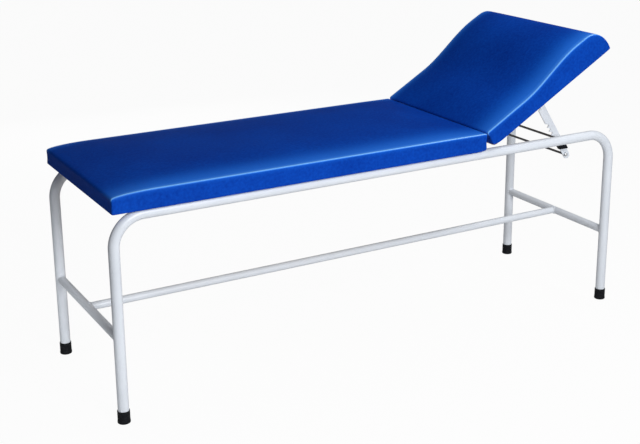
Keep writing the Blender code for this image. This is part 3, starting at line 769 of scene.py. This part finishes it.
def pad_sheet(name, low, high, half, near, far, profile, bottom_ends):
    """The pad's skin, open at the pocket's floor, and the numbers of its stapled vertices."""
    us, vs = lines(low, high, near, far), lines(-half, half, EDGE_ROUND, EDGE_ROUND)
    bm = bmesh.new()
    grid, stretch = [], []

    def bottom_round(x):
        """The bottom edge's radius, which is larger at the ends."""
        at_low = (bottom_ends[0] - BOTTOM_ROUND) * ease(1 - (x - low) / BOTTOM_BLEND)
        at_high = (bottom_ends[1] - BOTTOM_ROUND) * ease(1 - (high - x) / BOTTOM_BLEND)
        return BOTTOM_ROUND + at_low + at_high

    for u in us:
        row = []
        for v in vs:
            height = profile(u)
            edge = min(EDGE_ROUND, EDGE_SHARE * height)
            fall = round_fall(half - abs(v), edge, edge)
            ends = ease((u - low) / CROWN_EASE) * ease((high - u) / CROWN_EASE)
            swell = CROWN * (1 - (v / half) ** CROWN_POWER) * ends
            x, y = rounded_plan(u, v, low, high, half)
            row.append(bm.verts.new((x, y, height - fall + swell)))
            # The painted highlight and glow for this vertex.
            stretch.append(painted_highlight_and_coat_at(v, half, edge))
        grid.append(row)
    for a, b in zip(grid, grid[1:]):
        for j in range(len(vs) - 1):
            bm.faces.new((a[j], b[j], b[j + 1], a[j + 1]))
    rim = [row[0] for row in grid] + grid[-1][1:]
    rim += [row[-1] for row in reversed(grid[:-1])] + grid[0][-2:0:-1]
    middle = (low + high) / 2
    wide, long = half, (high - low) / 2
    rows = [rim]

    def ring(place):
        made = [bm.verts.new(place(top)) for top in rim]
        for i, vert in enumerate(made):
            j = (i + 1) % len(made)
            bm.faces.new((rows[-1][i], vert, made[j], rows[-1][j]))
        rows.append(made)

    def inset(top, by, z):
        x = middle + (top.co.x - middle) * (long - by) / long
        return x, top.co.y * (wide - by) / wide, z

    def side(share):
        draw = SIDE_DRAW * math.sin(math.pi * share)

        def place(top):
            foot = bottom_round(top.co.x)
            return inset(top, draw, foot + share * (top.co.z - foot))

        return place

    def under(turn):
        def place(top):
            radius = bottom_round(top.co.x)
            back, up = radius * (1 - math.sin(turn)), radius * (1 - math.cos(turn))
            return inset(top, back, up)

        return place

    for share in SIDE_SHARES:
        ring(side(share))
    for degrees in UNDER_DEGREES:
        ring(under(math.radians(degrees)))
    hem = ((HEM / 2, 0.0), (HEM, 0.0), (HEM, VINYL))
    pocket = ((BOARD_MARGIN, VINYL + POCKET_STEP), (BOARD_MARGIN, BOARD_TOP))
    for by, z in hem + pocket:
        ring(lambda top: inset(top, by, z))
    bm.verts.index_update()
    held = sorted({vert.index for row in rows for vert in row} | edge_band(grid))
    mesh = bpy.data.meshes.new(name)
    bm.to_mesh(mesh)
    bm.free()
    # The attribute "stretch" carries the painted highlight and glow, and the coat's share, to the finish.
    stretch += [0.0] * (len(mesh.vertices) - len(stretch))
    mesh.attributes.new("stretch", "FLOAT", "POINT").data.foreach_set("value", stretch)
    piece = bpy.data.objects.new(name, mesh)
    bpy.context.scene.collection.objects.link(piece)
    return piece, held


print("pad skin ready")

# %% [markdown]
# ## Stretching the covers
#
# Pressure inside the cloth lifts the cover off its sheet. A cap on how far a point may
# travel keeps the pad the size that it was cut to. With no gravity and nothing random,
# it gives the same pad on every run.

# %% Stretching
SWELL_CAP = 0.006
SWELL_FRAMES = 20
STILL = 1e-9


def points_of(mesh):
    flat = np.zeros(len(mesh.vertices) * 3)
    mesh.vertices.foreach_get("co", flat)
    return flat.reshape(-1, 3)


def stretch_cover(piece, held):
    """Blows the cover up with its hem held and caps how far each point travels."""
    before = points_of(piece.data)
    piece.vertex_groups.new(name="stapled").add(held, 1.0, "REPLACE")
    cloth = piece.modifiers.new("swell", "CLOTH")
    cloth.settings.quality = 6
    cloth.settings.mass = 0.4
    cloth.settings.tension_stiffness = 40
    cloth.settings.compression_stiffness = 40
    cloth.settings.shear_stiffness = 20
    cloth.settings.bending_stiffness = 5
    cloth.settings.use_pressure = True
    cloth.settings.uniform_pressure_force = 4
    cloth.settings.vertex_group_mass = "stapled"
    cloth.settings.effector_weights.gravity = 0
    cloth.collision_settings.use_collision = False
    cloth.point_cache.frame_start = 1
    cloth.point_cache.frame_end = SWELL_FRAMES
    for number in range(1, SWELL_FRAMES + 1):
        bpy.context.scene.frame_set(number)
    apply_modifiers(piece)
    moved = points_of(piece.data) - before
    travel = np.linalg.norm(moved, axis=1)
    share = SWELL_CAP * np.tanh(travel / SWELL_CAP) / np.maximum(travel, STILL)
    piece.data.vertices.foreach_set("co", (before + moved * share[:, None]).ravel())
    piece.data.update()
    piece.vertex_groups.clear()
    bpy.context.scene.frame_set(1)
    print(piece.name, "swelled by up to", round(1000 * float((travel * share).max()), 1), "mm")


def close_pocket(piece):
    """Fills the open floor of the board's pocket with one flat face."""
    choose(piece)
    bpy.ops.object.mode_set(mode="EDIT")
    bpy.ops.mesh.select_mode(type="EDGE")
    bpy.ops.mesh.select_all(action="DESELECT")
    sheet = bmesh.from_edit_mesh(piece.data)
    for edge in sheet.edges:
        edge.select_set(edge.is_boundary)
    bmesh.update_edit_mesh(piece.data)
    bpy.ops.mesh.edge_face_add()
    bpy.ops.mesh.select_mode(type="VERT")
    bpy.ops.mesh.select_all(action="SELECT")
    bpy.ops.mesh.normals_make_consistent(inside=False)
    bpy.ops.object.mode_set(mode="OBJECT")


def finish_pad(piece, held, place, body, *nodes):
    stretch_cover(piece, held)
    smooth = piece.modifiers.new("smooth", "SUBSURF")
    smooth.levels = smooth.render_levels = 1
    apply_modifiers(piece)
    close_pocket(piece)
    set_down(piece, place)
    dress(piece, blue_vinyl, "blue_vinyl", body, *nodes)
    print(piece.name, len(piece.data.polygons), "faces")


# %% [markdown]
# ## Bed pad
#
# The bed pad is a long flat block. At the foot end its top rolls over in a wide, low
# curve, where the cover is drawn in a little, and at the head end it is cut nearly square,
# where the head pad meets it.

# %% Bed pad
BED_HEIGHT = 0.060
FOOT_ROLL = (0.130, 0.0130)
FOOT_DRAW = 0.007
BED_BOTTOM_ENDS = (0.003, 0.008)
bed_low, bed_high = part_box("bed_cover")
PAD_HALF = bed_high.y
PAD_UNDERSIDE = bed_low.z
BED_FOOT_X = bed_low.x + FOOT_DRAW
BED_HEAD_X = bed_high.x


def bed_profile(u):
    fall = round_fall(u - BED_FOOT_X, *FOOT_ROLL)
    return BED_HEIGHT - fall - round_fall(BED_HEAD_X - u, EDGE_ROUND, EDGE_ROUND)


bed_pad, bed_held = pad_sheet(
    "bed_pad", BED_FOOT_X, BED_HEAD_X, PAD_HALF, FOOT_ROLL[0], EDGE_ROUND, bed_profile, BED_BOTTOM_ENDS
)
bed_place = Matrix.Translation((0, 0, PAD_UNDERSIDE))
finish_pad(bed_pad, bed_held, bed_place, "frame", "bed_cover", "bed_foam")

# %% [markdown]
# ## Head pad
#
# The head pad is flat near the hinge, swells into a pillow and rolls down at its far
# end. It is made lying flat, in the hinge's own axes, and then turned up by thirty
# degrees about the hinge, as in the photograph.

# %% Head pad
head_joint = next(joint for joint in frame["joints"] if joint["name"] == "head_tilt")
HINGE = Vector(head_joint["pos_m"])
HINGE_DROP = PAD_UNDERSIDE - HINGE.z
HEAD_TILT = math.radians(30)
HEAD_START = 0.024
HEAD_END = 0.593
HEAD_HEIGHT = 0.060
PILLOW_RISE = 0.038
PILLOW_START = 0.20
PILLOW_FULL = 0.47
PILLOW_ROLL = 0.071
PILLOW_LIP = 0.010
HEAD_BOTTOM_ENDS = (0.012, 0.004)
head_place = Matrix.Translation(HINGE) @ Matrix.Rotation(-HEAD_TILT, 4, "Y")


def head_profile(u):
    top = HEAD_HEIGHT + PILLOW_RISE * ease((u - PILLOW_START) / (PILLOW_FULL - PILLOW_START))
    top -= round_fall(u - HEAD_START, EDGE_ROUND, EDGE_ROUND)
    return top - round_fall(HEAD_END - u, PILLOW_ROLL, top - PILLOW_LIP)


head_pad, head_held = pad_sheet(
    "head_pad", HEAD_START, HEAD_END, PAD_HALF, EDGE_ROUND, PILLOW_ROLL, head_profile, HEAD_BOTTOM_ENDS
)
pad_place = head_place @ Matrix.Translation((0, 0, HINGE_DROP))
finish_pad(head_pad, head_held, pad_place, "head_section", "head_cover", "head_foam")

# %% [markdown]
# ## Staples
#
# The hem is held by a row of staples on each edge. One staple is modelled, copied along
# the hem and joined into one piece for each pad.

# %% Staples
STAPLE = (0.0105, 0.0011, 0.0007)
STAPLE_BREAK = 0.0002
STAPLE_STEP = 0.048
STAPLE_INSET = 0.022
STAPLE_LEAN = 0.25
LEAN_TURN = 2.4


def staple_row(name, low, high, place, body):
    """Staples round one hem, a little askew as a hand drives them."""
    clear()
    bpy.ops.mesh.primitive_cube_add(size=1.0)
    first = take(name)
    bpy.ops.transform.resize(value=STAPLE)
    bpy.ops.object.mode_set(mode="OBJECT")
    apply_place(first)
    bevelled(first, STAPLE_BREAK, 1)
    spots = []
    length, width = high - low - 2 * STAPLE_INSET, 2 * (PAD_HALF - STAPLE_INSET)
    for span, count_along in ((length, True), (width, False)):
        count = round(span / STAPLE_STEP)
        for k in range(count):
            t = (k + 0.5) / count - 0.5
            lean = STAPLE_LEAN * math.sin(LEAN_TURN * k + span)
            for edge in (-0.5, 0.5):
                if count_along:
                    spots.append(((low + high) / 2 + t * span, edge * width, lean))
                else:
                    spots.append(((low + high) / 2 + edge * length, t * span, QUARTER + lean))
    copies = []
    for x, y, turn in spots:
        twin = copy_of(first, name + "_one")
        on_hem = place @ Matrix.Translation((x, y, -STAPLE[2] / 2))
        set_down(twin, on_hem @ Matrix.Rotation(turn, 4, "Z"))
        copies.append(twin)
    bpy.data.objects.remove(first, do_unlink=True)
    clear()
    for twin in copies:
        twin.select_set(True)
    bpy.context.view_layer.objects.active = copies[0]
    bpy.ops.object.join()
    row = bpy.context.object
    row.name = row.data.name = name
    dress(row, zinc_steel, "zinc_steel", body)
    print(name, len(spots), "staples")


staple_row("bed_staples", BED_FOOT_X, BED_HEAD_X, bed_place, "frame")
staple_row("head_staples", HEAD_START, HEAD_END, pad_place, "head_section")

# %% [markdown]
# ## Boards, plates, bars and hinges from the CAD
#
# The boards, the toothed bars, the brackets and the hinges already have the right form,
# but their edges are knife sharp, which nothing sawn or pressed is. A copy of the CAD mesh
# is merged, its flat faces are dissolved back into whole faces, and a narrow bevel breaks
# every edge, so that it catches the light. The bed's board is drawn in at its foot end by as
# much as the cover over it.

# %% Boards, plates, bars and hinges
BOARD_BREAK = 0.0008
BAR_BREAK = 0.0006
SLEEVE_BREAK = 0.0012
SLEEVE_STEPS = 3
BRACKET_BREAK = 0.0004
LEAF_BREAK = 0.0003
NUT_BREAK = 0.0005
FLAT_ANGLE = math.radians(1)
TRIM_REACH = 0.05


def eased_copy(name, finish, slot, body, node, width, segments=2):
    piece = copy_of(frame["nodes"][node], name)
    piece.parent = None
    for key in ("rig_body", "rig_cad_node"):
        del piece[key]
    choose(piece)
    bpy.ops.object.mode_set(mode="EDIT")
    bpy.ops.mesh.select_all(action="SELECT")
    bpy.ops.mesh.remove_doubles(threshold=MERGE_DISTANCE)
    bpy.ops.mesh.dissolve_limited(angle_limit=FLAT_ANGLE)
    bpy.ops.object.mode_set(mode="OBJECT")
    bevelled(piece, width, segments)
    return dress(piece, finish, slot, body, node)


RACK_LEAN = math.radians(32.9)
CAP_SHARE = 0.46
CAP_SINK = 0.0005
CAP_EDGE = 0.0004
CAP_RISE = 0.0042
CAP_DOME = ((0.92, 0.45), (0.7, 0.8), (0.25, 1.0))
rack_down = Vector((math.sin(RACK_LEAN), 0, -math.cos(RACK_LEAN)))
rack_back = Vector((math.cos(RACK_LEAN), 0, math.sin(RACK_LEAN)))


def cut_level(sleeve, node):
    """Slants the sleeve's lower end so that it lies level while the bar leans."""
    low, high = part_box(node)
    middle = (low + high) / 2
    for vertex in sleeve.data.vertices:
        offset = vertex.co - middle
        if offset.dot(rack_down) > 0:
            vertex.co += rack_down * (math.tan(RACK_LEAN) * offset.dot(rack_back))


def cap_nut(name, node, outside):
    """A domed cap on a nut, which covers the rod's end as on furniture."""
    low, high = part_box(node)
    radius = CAP_SHARE * (high.x - low.x)
    rings = [(radius, -CAP_SINK), (radius, CAP_EDGE)]
    rings += [(wide * radius, rise * CAP_RISE) for wide, rise in CAP_DOME]
    cap = turned(name, rings)
    face = Vector(((low.x + high.x) / 2, high.y if outside > 0 else low.y, (low.z + high.z) / 2))
    set_down(cap, Matrix.Translation(face) @ Matrix.Rotation(-outside * QUARTER, 4, "X"))
    return dress(cap, zinc_steel, "zinc_steel", "rack")


STEEL_COPIES = (
    ("bracket", "rack_bracket", "head_section", BRACKET_BREAK),
    ("leaf_fixed", "bed_hinge_leaf", "frame", LEAF_BREAK),
    ("leaf_moving", "head_hinge_leaf", "head_section", LEAF_BREAK),
    ("nut_high", "rack_pivot_nut", "head_section", NUT_BREAK),
    ("nut_low", "spreader_nut", "rack", NUT_BREAK),
)
bed_ply = eased_copy("bed_ply", plywood, "plywood", "frame", "bed_board", BOARD_BREAK)
board_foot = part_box("bed_board")[0].x
for vertex in bed_ply.data.vertices:
    from_foot = vertex.co.x - board_foot
    vertex.co.x += FOOT_DRAW * max(0.0, 1.0 - from_foot / TRIM_REACH)
eased_copy("head_ply", plywood, "plywood", "head_section", "head_board", BOARD_BREAK)
for side_name, side in SIDES:
    node = side_name + "_rack_bar"
    eased_copy(side_name + "_stay", white_paint, "white_paint", "rack", node, BAR_BREAK)
    node = side_name + "_rack_sleeve"
    name = side_name + "_sleeve"
    sleeve = eased_copy(name, black_rubber, "black_rubber", "rack", node, SLEEVE_BREAK, SLEEVE_STEPS)
    cut_level(sleeve, node)
    for kind, cad_kind, body, width in STEEL_COPIES:
        node = f"{side_name}_{cad_kind}"
        eased_copy(f"{side_name}_{kind}", zinc_steel, "zinc_steel", body, node, width)
    cap_nut(side_name + "_nut_cap", side_name + "_spreader_nut", side)
print("eased copies made")

# %% [markdown]
# ## Rods and pins
#
# The support rod, the rod between the toothed bars and the hinge pins are plain round
# bar with chamfered ends. Each is pulled along its length from a disc, and turned to lie
# across the table.

# %% Rods and pins
ROD_RADIUS = 0.004
PIN_RADIUS = 0.003
CHAMFER_SHARE = 0.2


def rod(name, node, radius, finish, slot, body):
    low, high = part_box(node)
    centre = (low + high) / 2
    half = (high.y - low.y) / 2
    chamfer = CHAMFER_SHARE * radius
    rings = [(radius - chamfer, -half), (radius, chamfer - half)]
    rings += [(radius, half - chamfer), (radius - chamfer, half)]
    piece = turned(name, rings)
    set_down(piece, Matrix.Translation(centre) @ Matrix.Rotation(QUARTER, 4, "X"))
    return dress(piece, finish, slot, body, node)


rod("catch_rod", "support_rod", ROD_RADIUS, dark_steel, "dark_steel", "frame")
rod("release_rod", "spreader_rod", ROD_RADIUS, dark_steel, "dark_steel", "rack")
for side_name, side in SIDES:
    rod(side_name + "_pin", side_name + "_hinge_pin", PIN_RADIUS, zinc_steel, "zinc_steel", "frame")
print("rods and pins made")

# %% [markdown]
# ## Screws and bolts
#
# The screws under the boards are round headed with a cross recess, and the bolts have
# domed heads with a hex socket. Each kind is modelled once, pointing up with its head
# below, its recess is cut with a boolean, and copies go to each place.

# %% Screws and bolts
SLOT_SHARE = 0.22
TIP_SHARE = 0.3
HEAD_DOME = ((0.35, 1.0), (0.75, 0.9), (0.95, 0.6), (1.0, 0.25), (1.0, 0.0))
SCREW_HEAD = (0.0042, 0.002)
BOLT_HEAD = (0.007, 0.004)
CROSS = ((0.0045, 0, 0.0), (0.0045, 0, QUARTER))
HEX = ((0.0028, 6, 0.0),)
UPRIGHT = Matrix.Identity(4)


def headed(name, shank, length, head, recess):
    """A fastener that points up from z = 0, with a domed head below it and a recess in that.

    head is its radius and height. recess lists cutters as size, sides and turn, and a cutter
    with no sides is a slot.
    """
    head_radius, head_height = head
    rings = [(wide * head_radius, -drop * head_height) for wide, drop in HEAD_DOME]
    rings += [(shank, 0.0), (shank, length - shank), (TIP_SHARE * shank, length)]
    piece = turned(name, rings)
    tools = []
    for size, sides, turn in recess:
        clear()
        if sides:
            bpy.ops.mesh.primitive_cylinder_add(
                vertices=sides, radius=size, depth=head_height, location=(0, 0, -head_height)
            )
        else:
            bottom = (0, 0, -head_height)
            bpy.ops.mesh.primitive_cube_add(size=1.0, location=bottom, rotation=(0, 0, turn))
            bpy.ops.transform.resize(value=(size, SLOT_SHARE * size, head_height), orient_type="LOCAL")
        tools.append(take("recess", editing=False))
    coped(piece, tools)
    return piece


def fasten(pattern, name, body, node, turn):
    """Puts a copy of a fastener where its CAD node is, by the middle of the node's box."""
    piece = copy_of(pattern, name)
    set_down(piece, turn)
    low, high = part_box(node)
    mine = points_of(piece.data)
    offset = (low + high) / 2 - Vector((mine.min(0) + mine.max(0)) / 2)
    set_down(piece, Matrix.Translation(offset))
    return dress(piece, zinc_steel, "zinc_steel", body, node)


screw = headed("screw", shank=0.002, length=0.009, head=SCREW_HEAD, recess=CROSS)
bed_bolt = headed("bed_bolt", shank=0.003, length=0.0375, head=BOLT_HEAD, recess=HEX)
pivot_bolt = headed("pivot_bolt", shank=0.004, length=0.016, head=BOLT_HEAD, recess=HEX)
tilt = Matrix.Rotation(-HEAD_TILT, 4, "Y")
screw_kinds = (
    ("bed_hinge_screw", "frame", UPRIGHT),
    ("head_hinge_screw", "head_section", tilt),
    ("rack_bracket_screw", "head_section", tilt),
)
for side_name, side in SIDES:
    for number in (1, 2):
        for kind, body, turn in screw_kinds:
            node = f"{side_name}_{kind}_{number}"
            fasten(screw, node.replace("screw", "fixing"), body, node, turn)
    for under_tube in ("foot", "middle"):
        node = f"bed_bolt_{under_tube}_{side_name}"
        fasten(bed_bolt, node.replace("bolt", "fixing"), "frame", node, UPRIGHT)
    sideways = tilt @ Matrix.Rotation(side * QUARTER, 4, "X")
    fasten(pivot_bolt, side_name + "_stay_bolt", "head_section", side_name + "_rack_pivot_bolt", sideways)
for pattern in (screw, bed_bolt, pivot_bolt):
    bpy.data.objects.remove(pattern, do_unlink=True)
print("fasteners placed")

# %% [markdown]
# ## Studio
#
# The photograph is a cut-out on white, lit by one soft key light from just beside the
# camera and a little above it, so the long side is brightest, the top gets about half of
# that and the foot end little. A strip above the head end lights the top of the bed, a weak
# fill stands beyond the foot end, and two narrow kickers on the left lift the far leg and the
# bar between the foot legs. A low fill behind the table keeps its far side from going dark
# when it is seen from there, and is hidden from reflections, so that it doesn't mirror in
# the vinyl.
# The floor and the world look white to the camera, and mirrors see some of that white,
# but the light that they give the table stays plain. The floor isn't sampled as a lamp,
# because that would only add noise to the tubes.

# %% Floor and world
FLOOR_SIZE = 30.0
FLOOR_DROP = 0.0005
FLOOR_GREY = (0.62, 0.62, 0.62)
FLOOR_SEEN = 0.96
MIRROR_SEEN = 0.10
WHITE = (1.0, 1.0, 1.0, 1.0)
DIM_BLUE = (0.93, 0.95, 1.0, 1.0)
DIM_STRENGTH = 0.05


def ray(nodes, kind):
    return nodes.node("ShaderNodeLightPath", {}, {}, kind)


def white_share(nodes, camera_share):
    """How much of the plain white each kind of ray sees."""
    mirrors = ray(nodes, "Is Glossy Ray") + ray(nodes, "Is Transmission Ray")
    return camera_share * ray(nodes, "Is Camera Ray") + MIRROR_SEEN * mirrors


clear()
bpy.ops.mesh.primitive_plane_add(size=FLOOR_SIZE, location=(0, 0, -FLOOR_DROP))
floor = take("floor", editing=False)
floor_finish = Finish("floor_white", colour=FLOOR_GREY, roughness=0.9)
glow = floor_finish.node("ShaderNodeEmission", {}, {"Color": WHITE, "Strength": 1.0})
plain = Flow(floor_finish, floor_finish.shader.outputs["BSDF"])
share = white_share(floor_finish, FLOOR_SEEN)
surface = floor_finish.node("ShaderNodeMixShader", {}, {0: share, 1: plain, 2: glow})
floor_finish.feed(floor_finish.tree.nodes["Material Output"].inputs["Surface"], surface)
floor.data.materials.append(floor_finish.material)
floor_finish.material.cycles.emission_sampling = "NONE"

world = bpy.data.worlds.new("studio")
bpy.context.scene.world = world
world.use_nodes = True
sky = Nodes(world.node_tree)
dim = sky.node("ShaderNodeBackground", {}, {"Color": DIM_BLUE, "Strength": DIM_STRENGTH})
white = sky.node("ShaderNodeBackground", {}, {"Color": WHITE, "Strength": 1.0})
around = sky.node("ShaderNodeMixShader", {}, {0: white_share(sky, 1.0), 1: dim, 2: white})
sky.feed(sky.tree.nodes["World Output"].inputs["Surface"], around)
print("floor and world ready")

# %% [markdown]
# ## Lamps
#
# The softboxes are area lamps and the kickers are spots with a soft rim. Each is put in its
# place and pointed at what it lights.

# %% Lamps
SPOT_BLEND = 0.5
SPOT_SOFTNESS = 0.25


def lamp_at(kind, name, place, aim, power):
    clear()
    bpy.ops.object.light_add(type=kind, location=place)
    lamp = take(name, editing=False)
    lamp.data.energy = power
    lamp.rotation_euler = (Vector(aim) - Vector(place)).to_track_quat("-Z", "Y").to_euler()
    return lamp


def softbox(name, place, aim, size, power):
    lamp = lamp_at("AREA", name, place, aim, power)
    lamp.data.shape = "RECTANGLE"
    lamp.data.size, lamp.data.size_y = size
    return lamp


def kicker(name, place, aim, cone, power):
    lamp = lamp_at("SPOT", name, place, aim, power)
    lamp.data.spot_size = math.radians(cone)
    lamp.data.spot_blend = SPOT_BLEND
    lamp.data.shadow_soft_size = SPOT_SOFTNESS


softbox("key", place=(-0.40, -3.50, 2.00), aim=(0.05, 0, 0.5), size=(1.8, 1.4), power=118.0)
softbox("strip", place=(1.7, -0.5, 2.5), aim=(0.1, -0.1, 0.7), size=(1.6, 0.5), power=24.0)
softbox("fill", place=(-3.4, 0.4, 1.9), aim=(0, 0, 0.4), size=(2.0, 2.0), power=5.0)
back_fill = softbox("back_fill", place=(0.4, 3.4, 1.0), aim=(0, 0, 0.5), size=(2.2, 1.2), power=26.0)
back_fill.visible_glossy = False
kicker("leg_kicker", place=(-2.2, -2.4, 0.25), aim=(-1.035, 0.278, 0.17), cone=11, power=130.0)
kicker("bar_kicker", place=(-3.0, 0.0, 1.2), aim=(-0.93, 0.03, 0.13), cone=14, power=75.0)
print("studio lit")
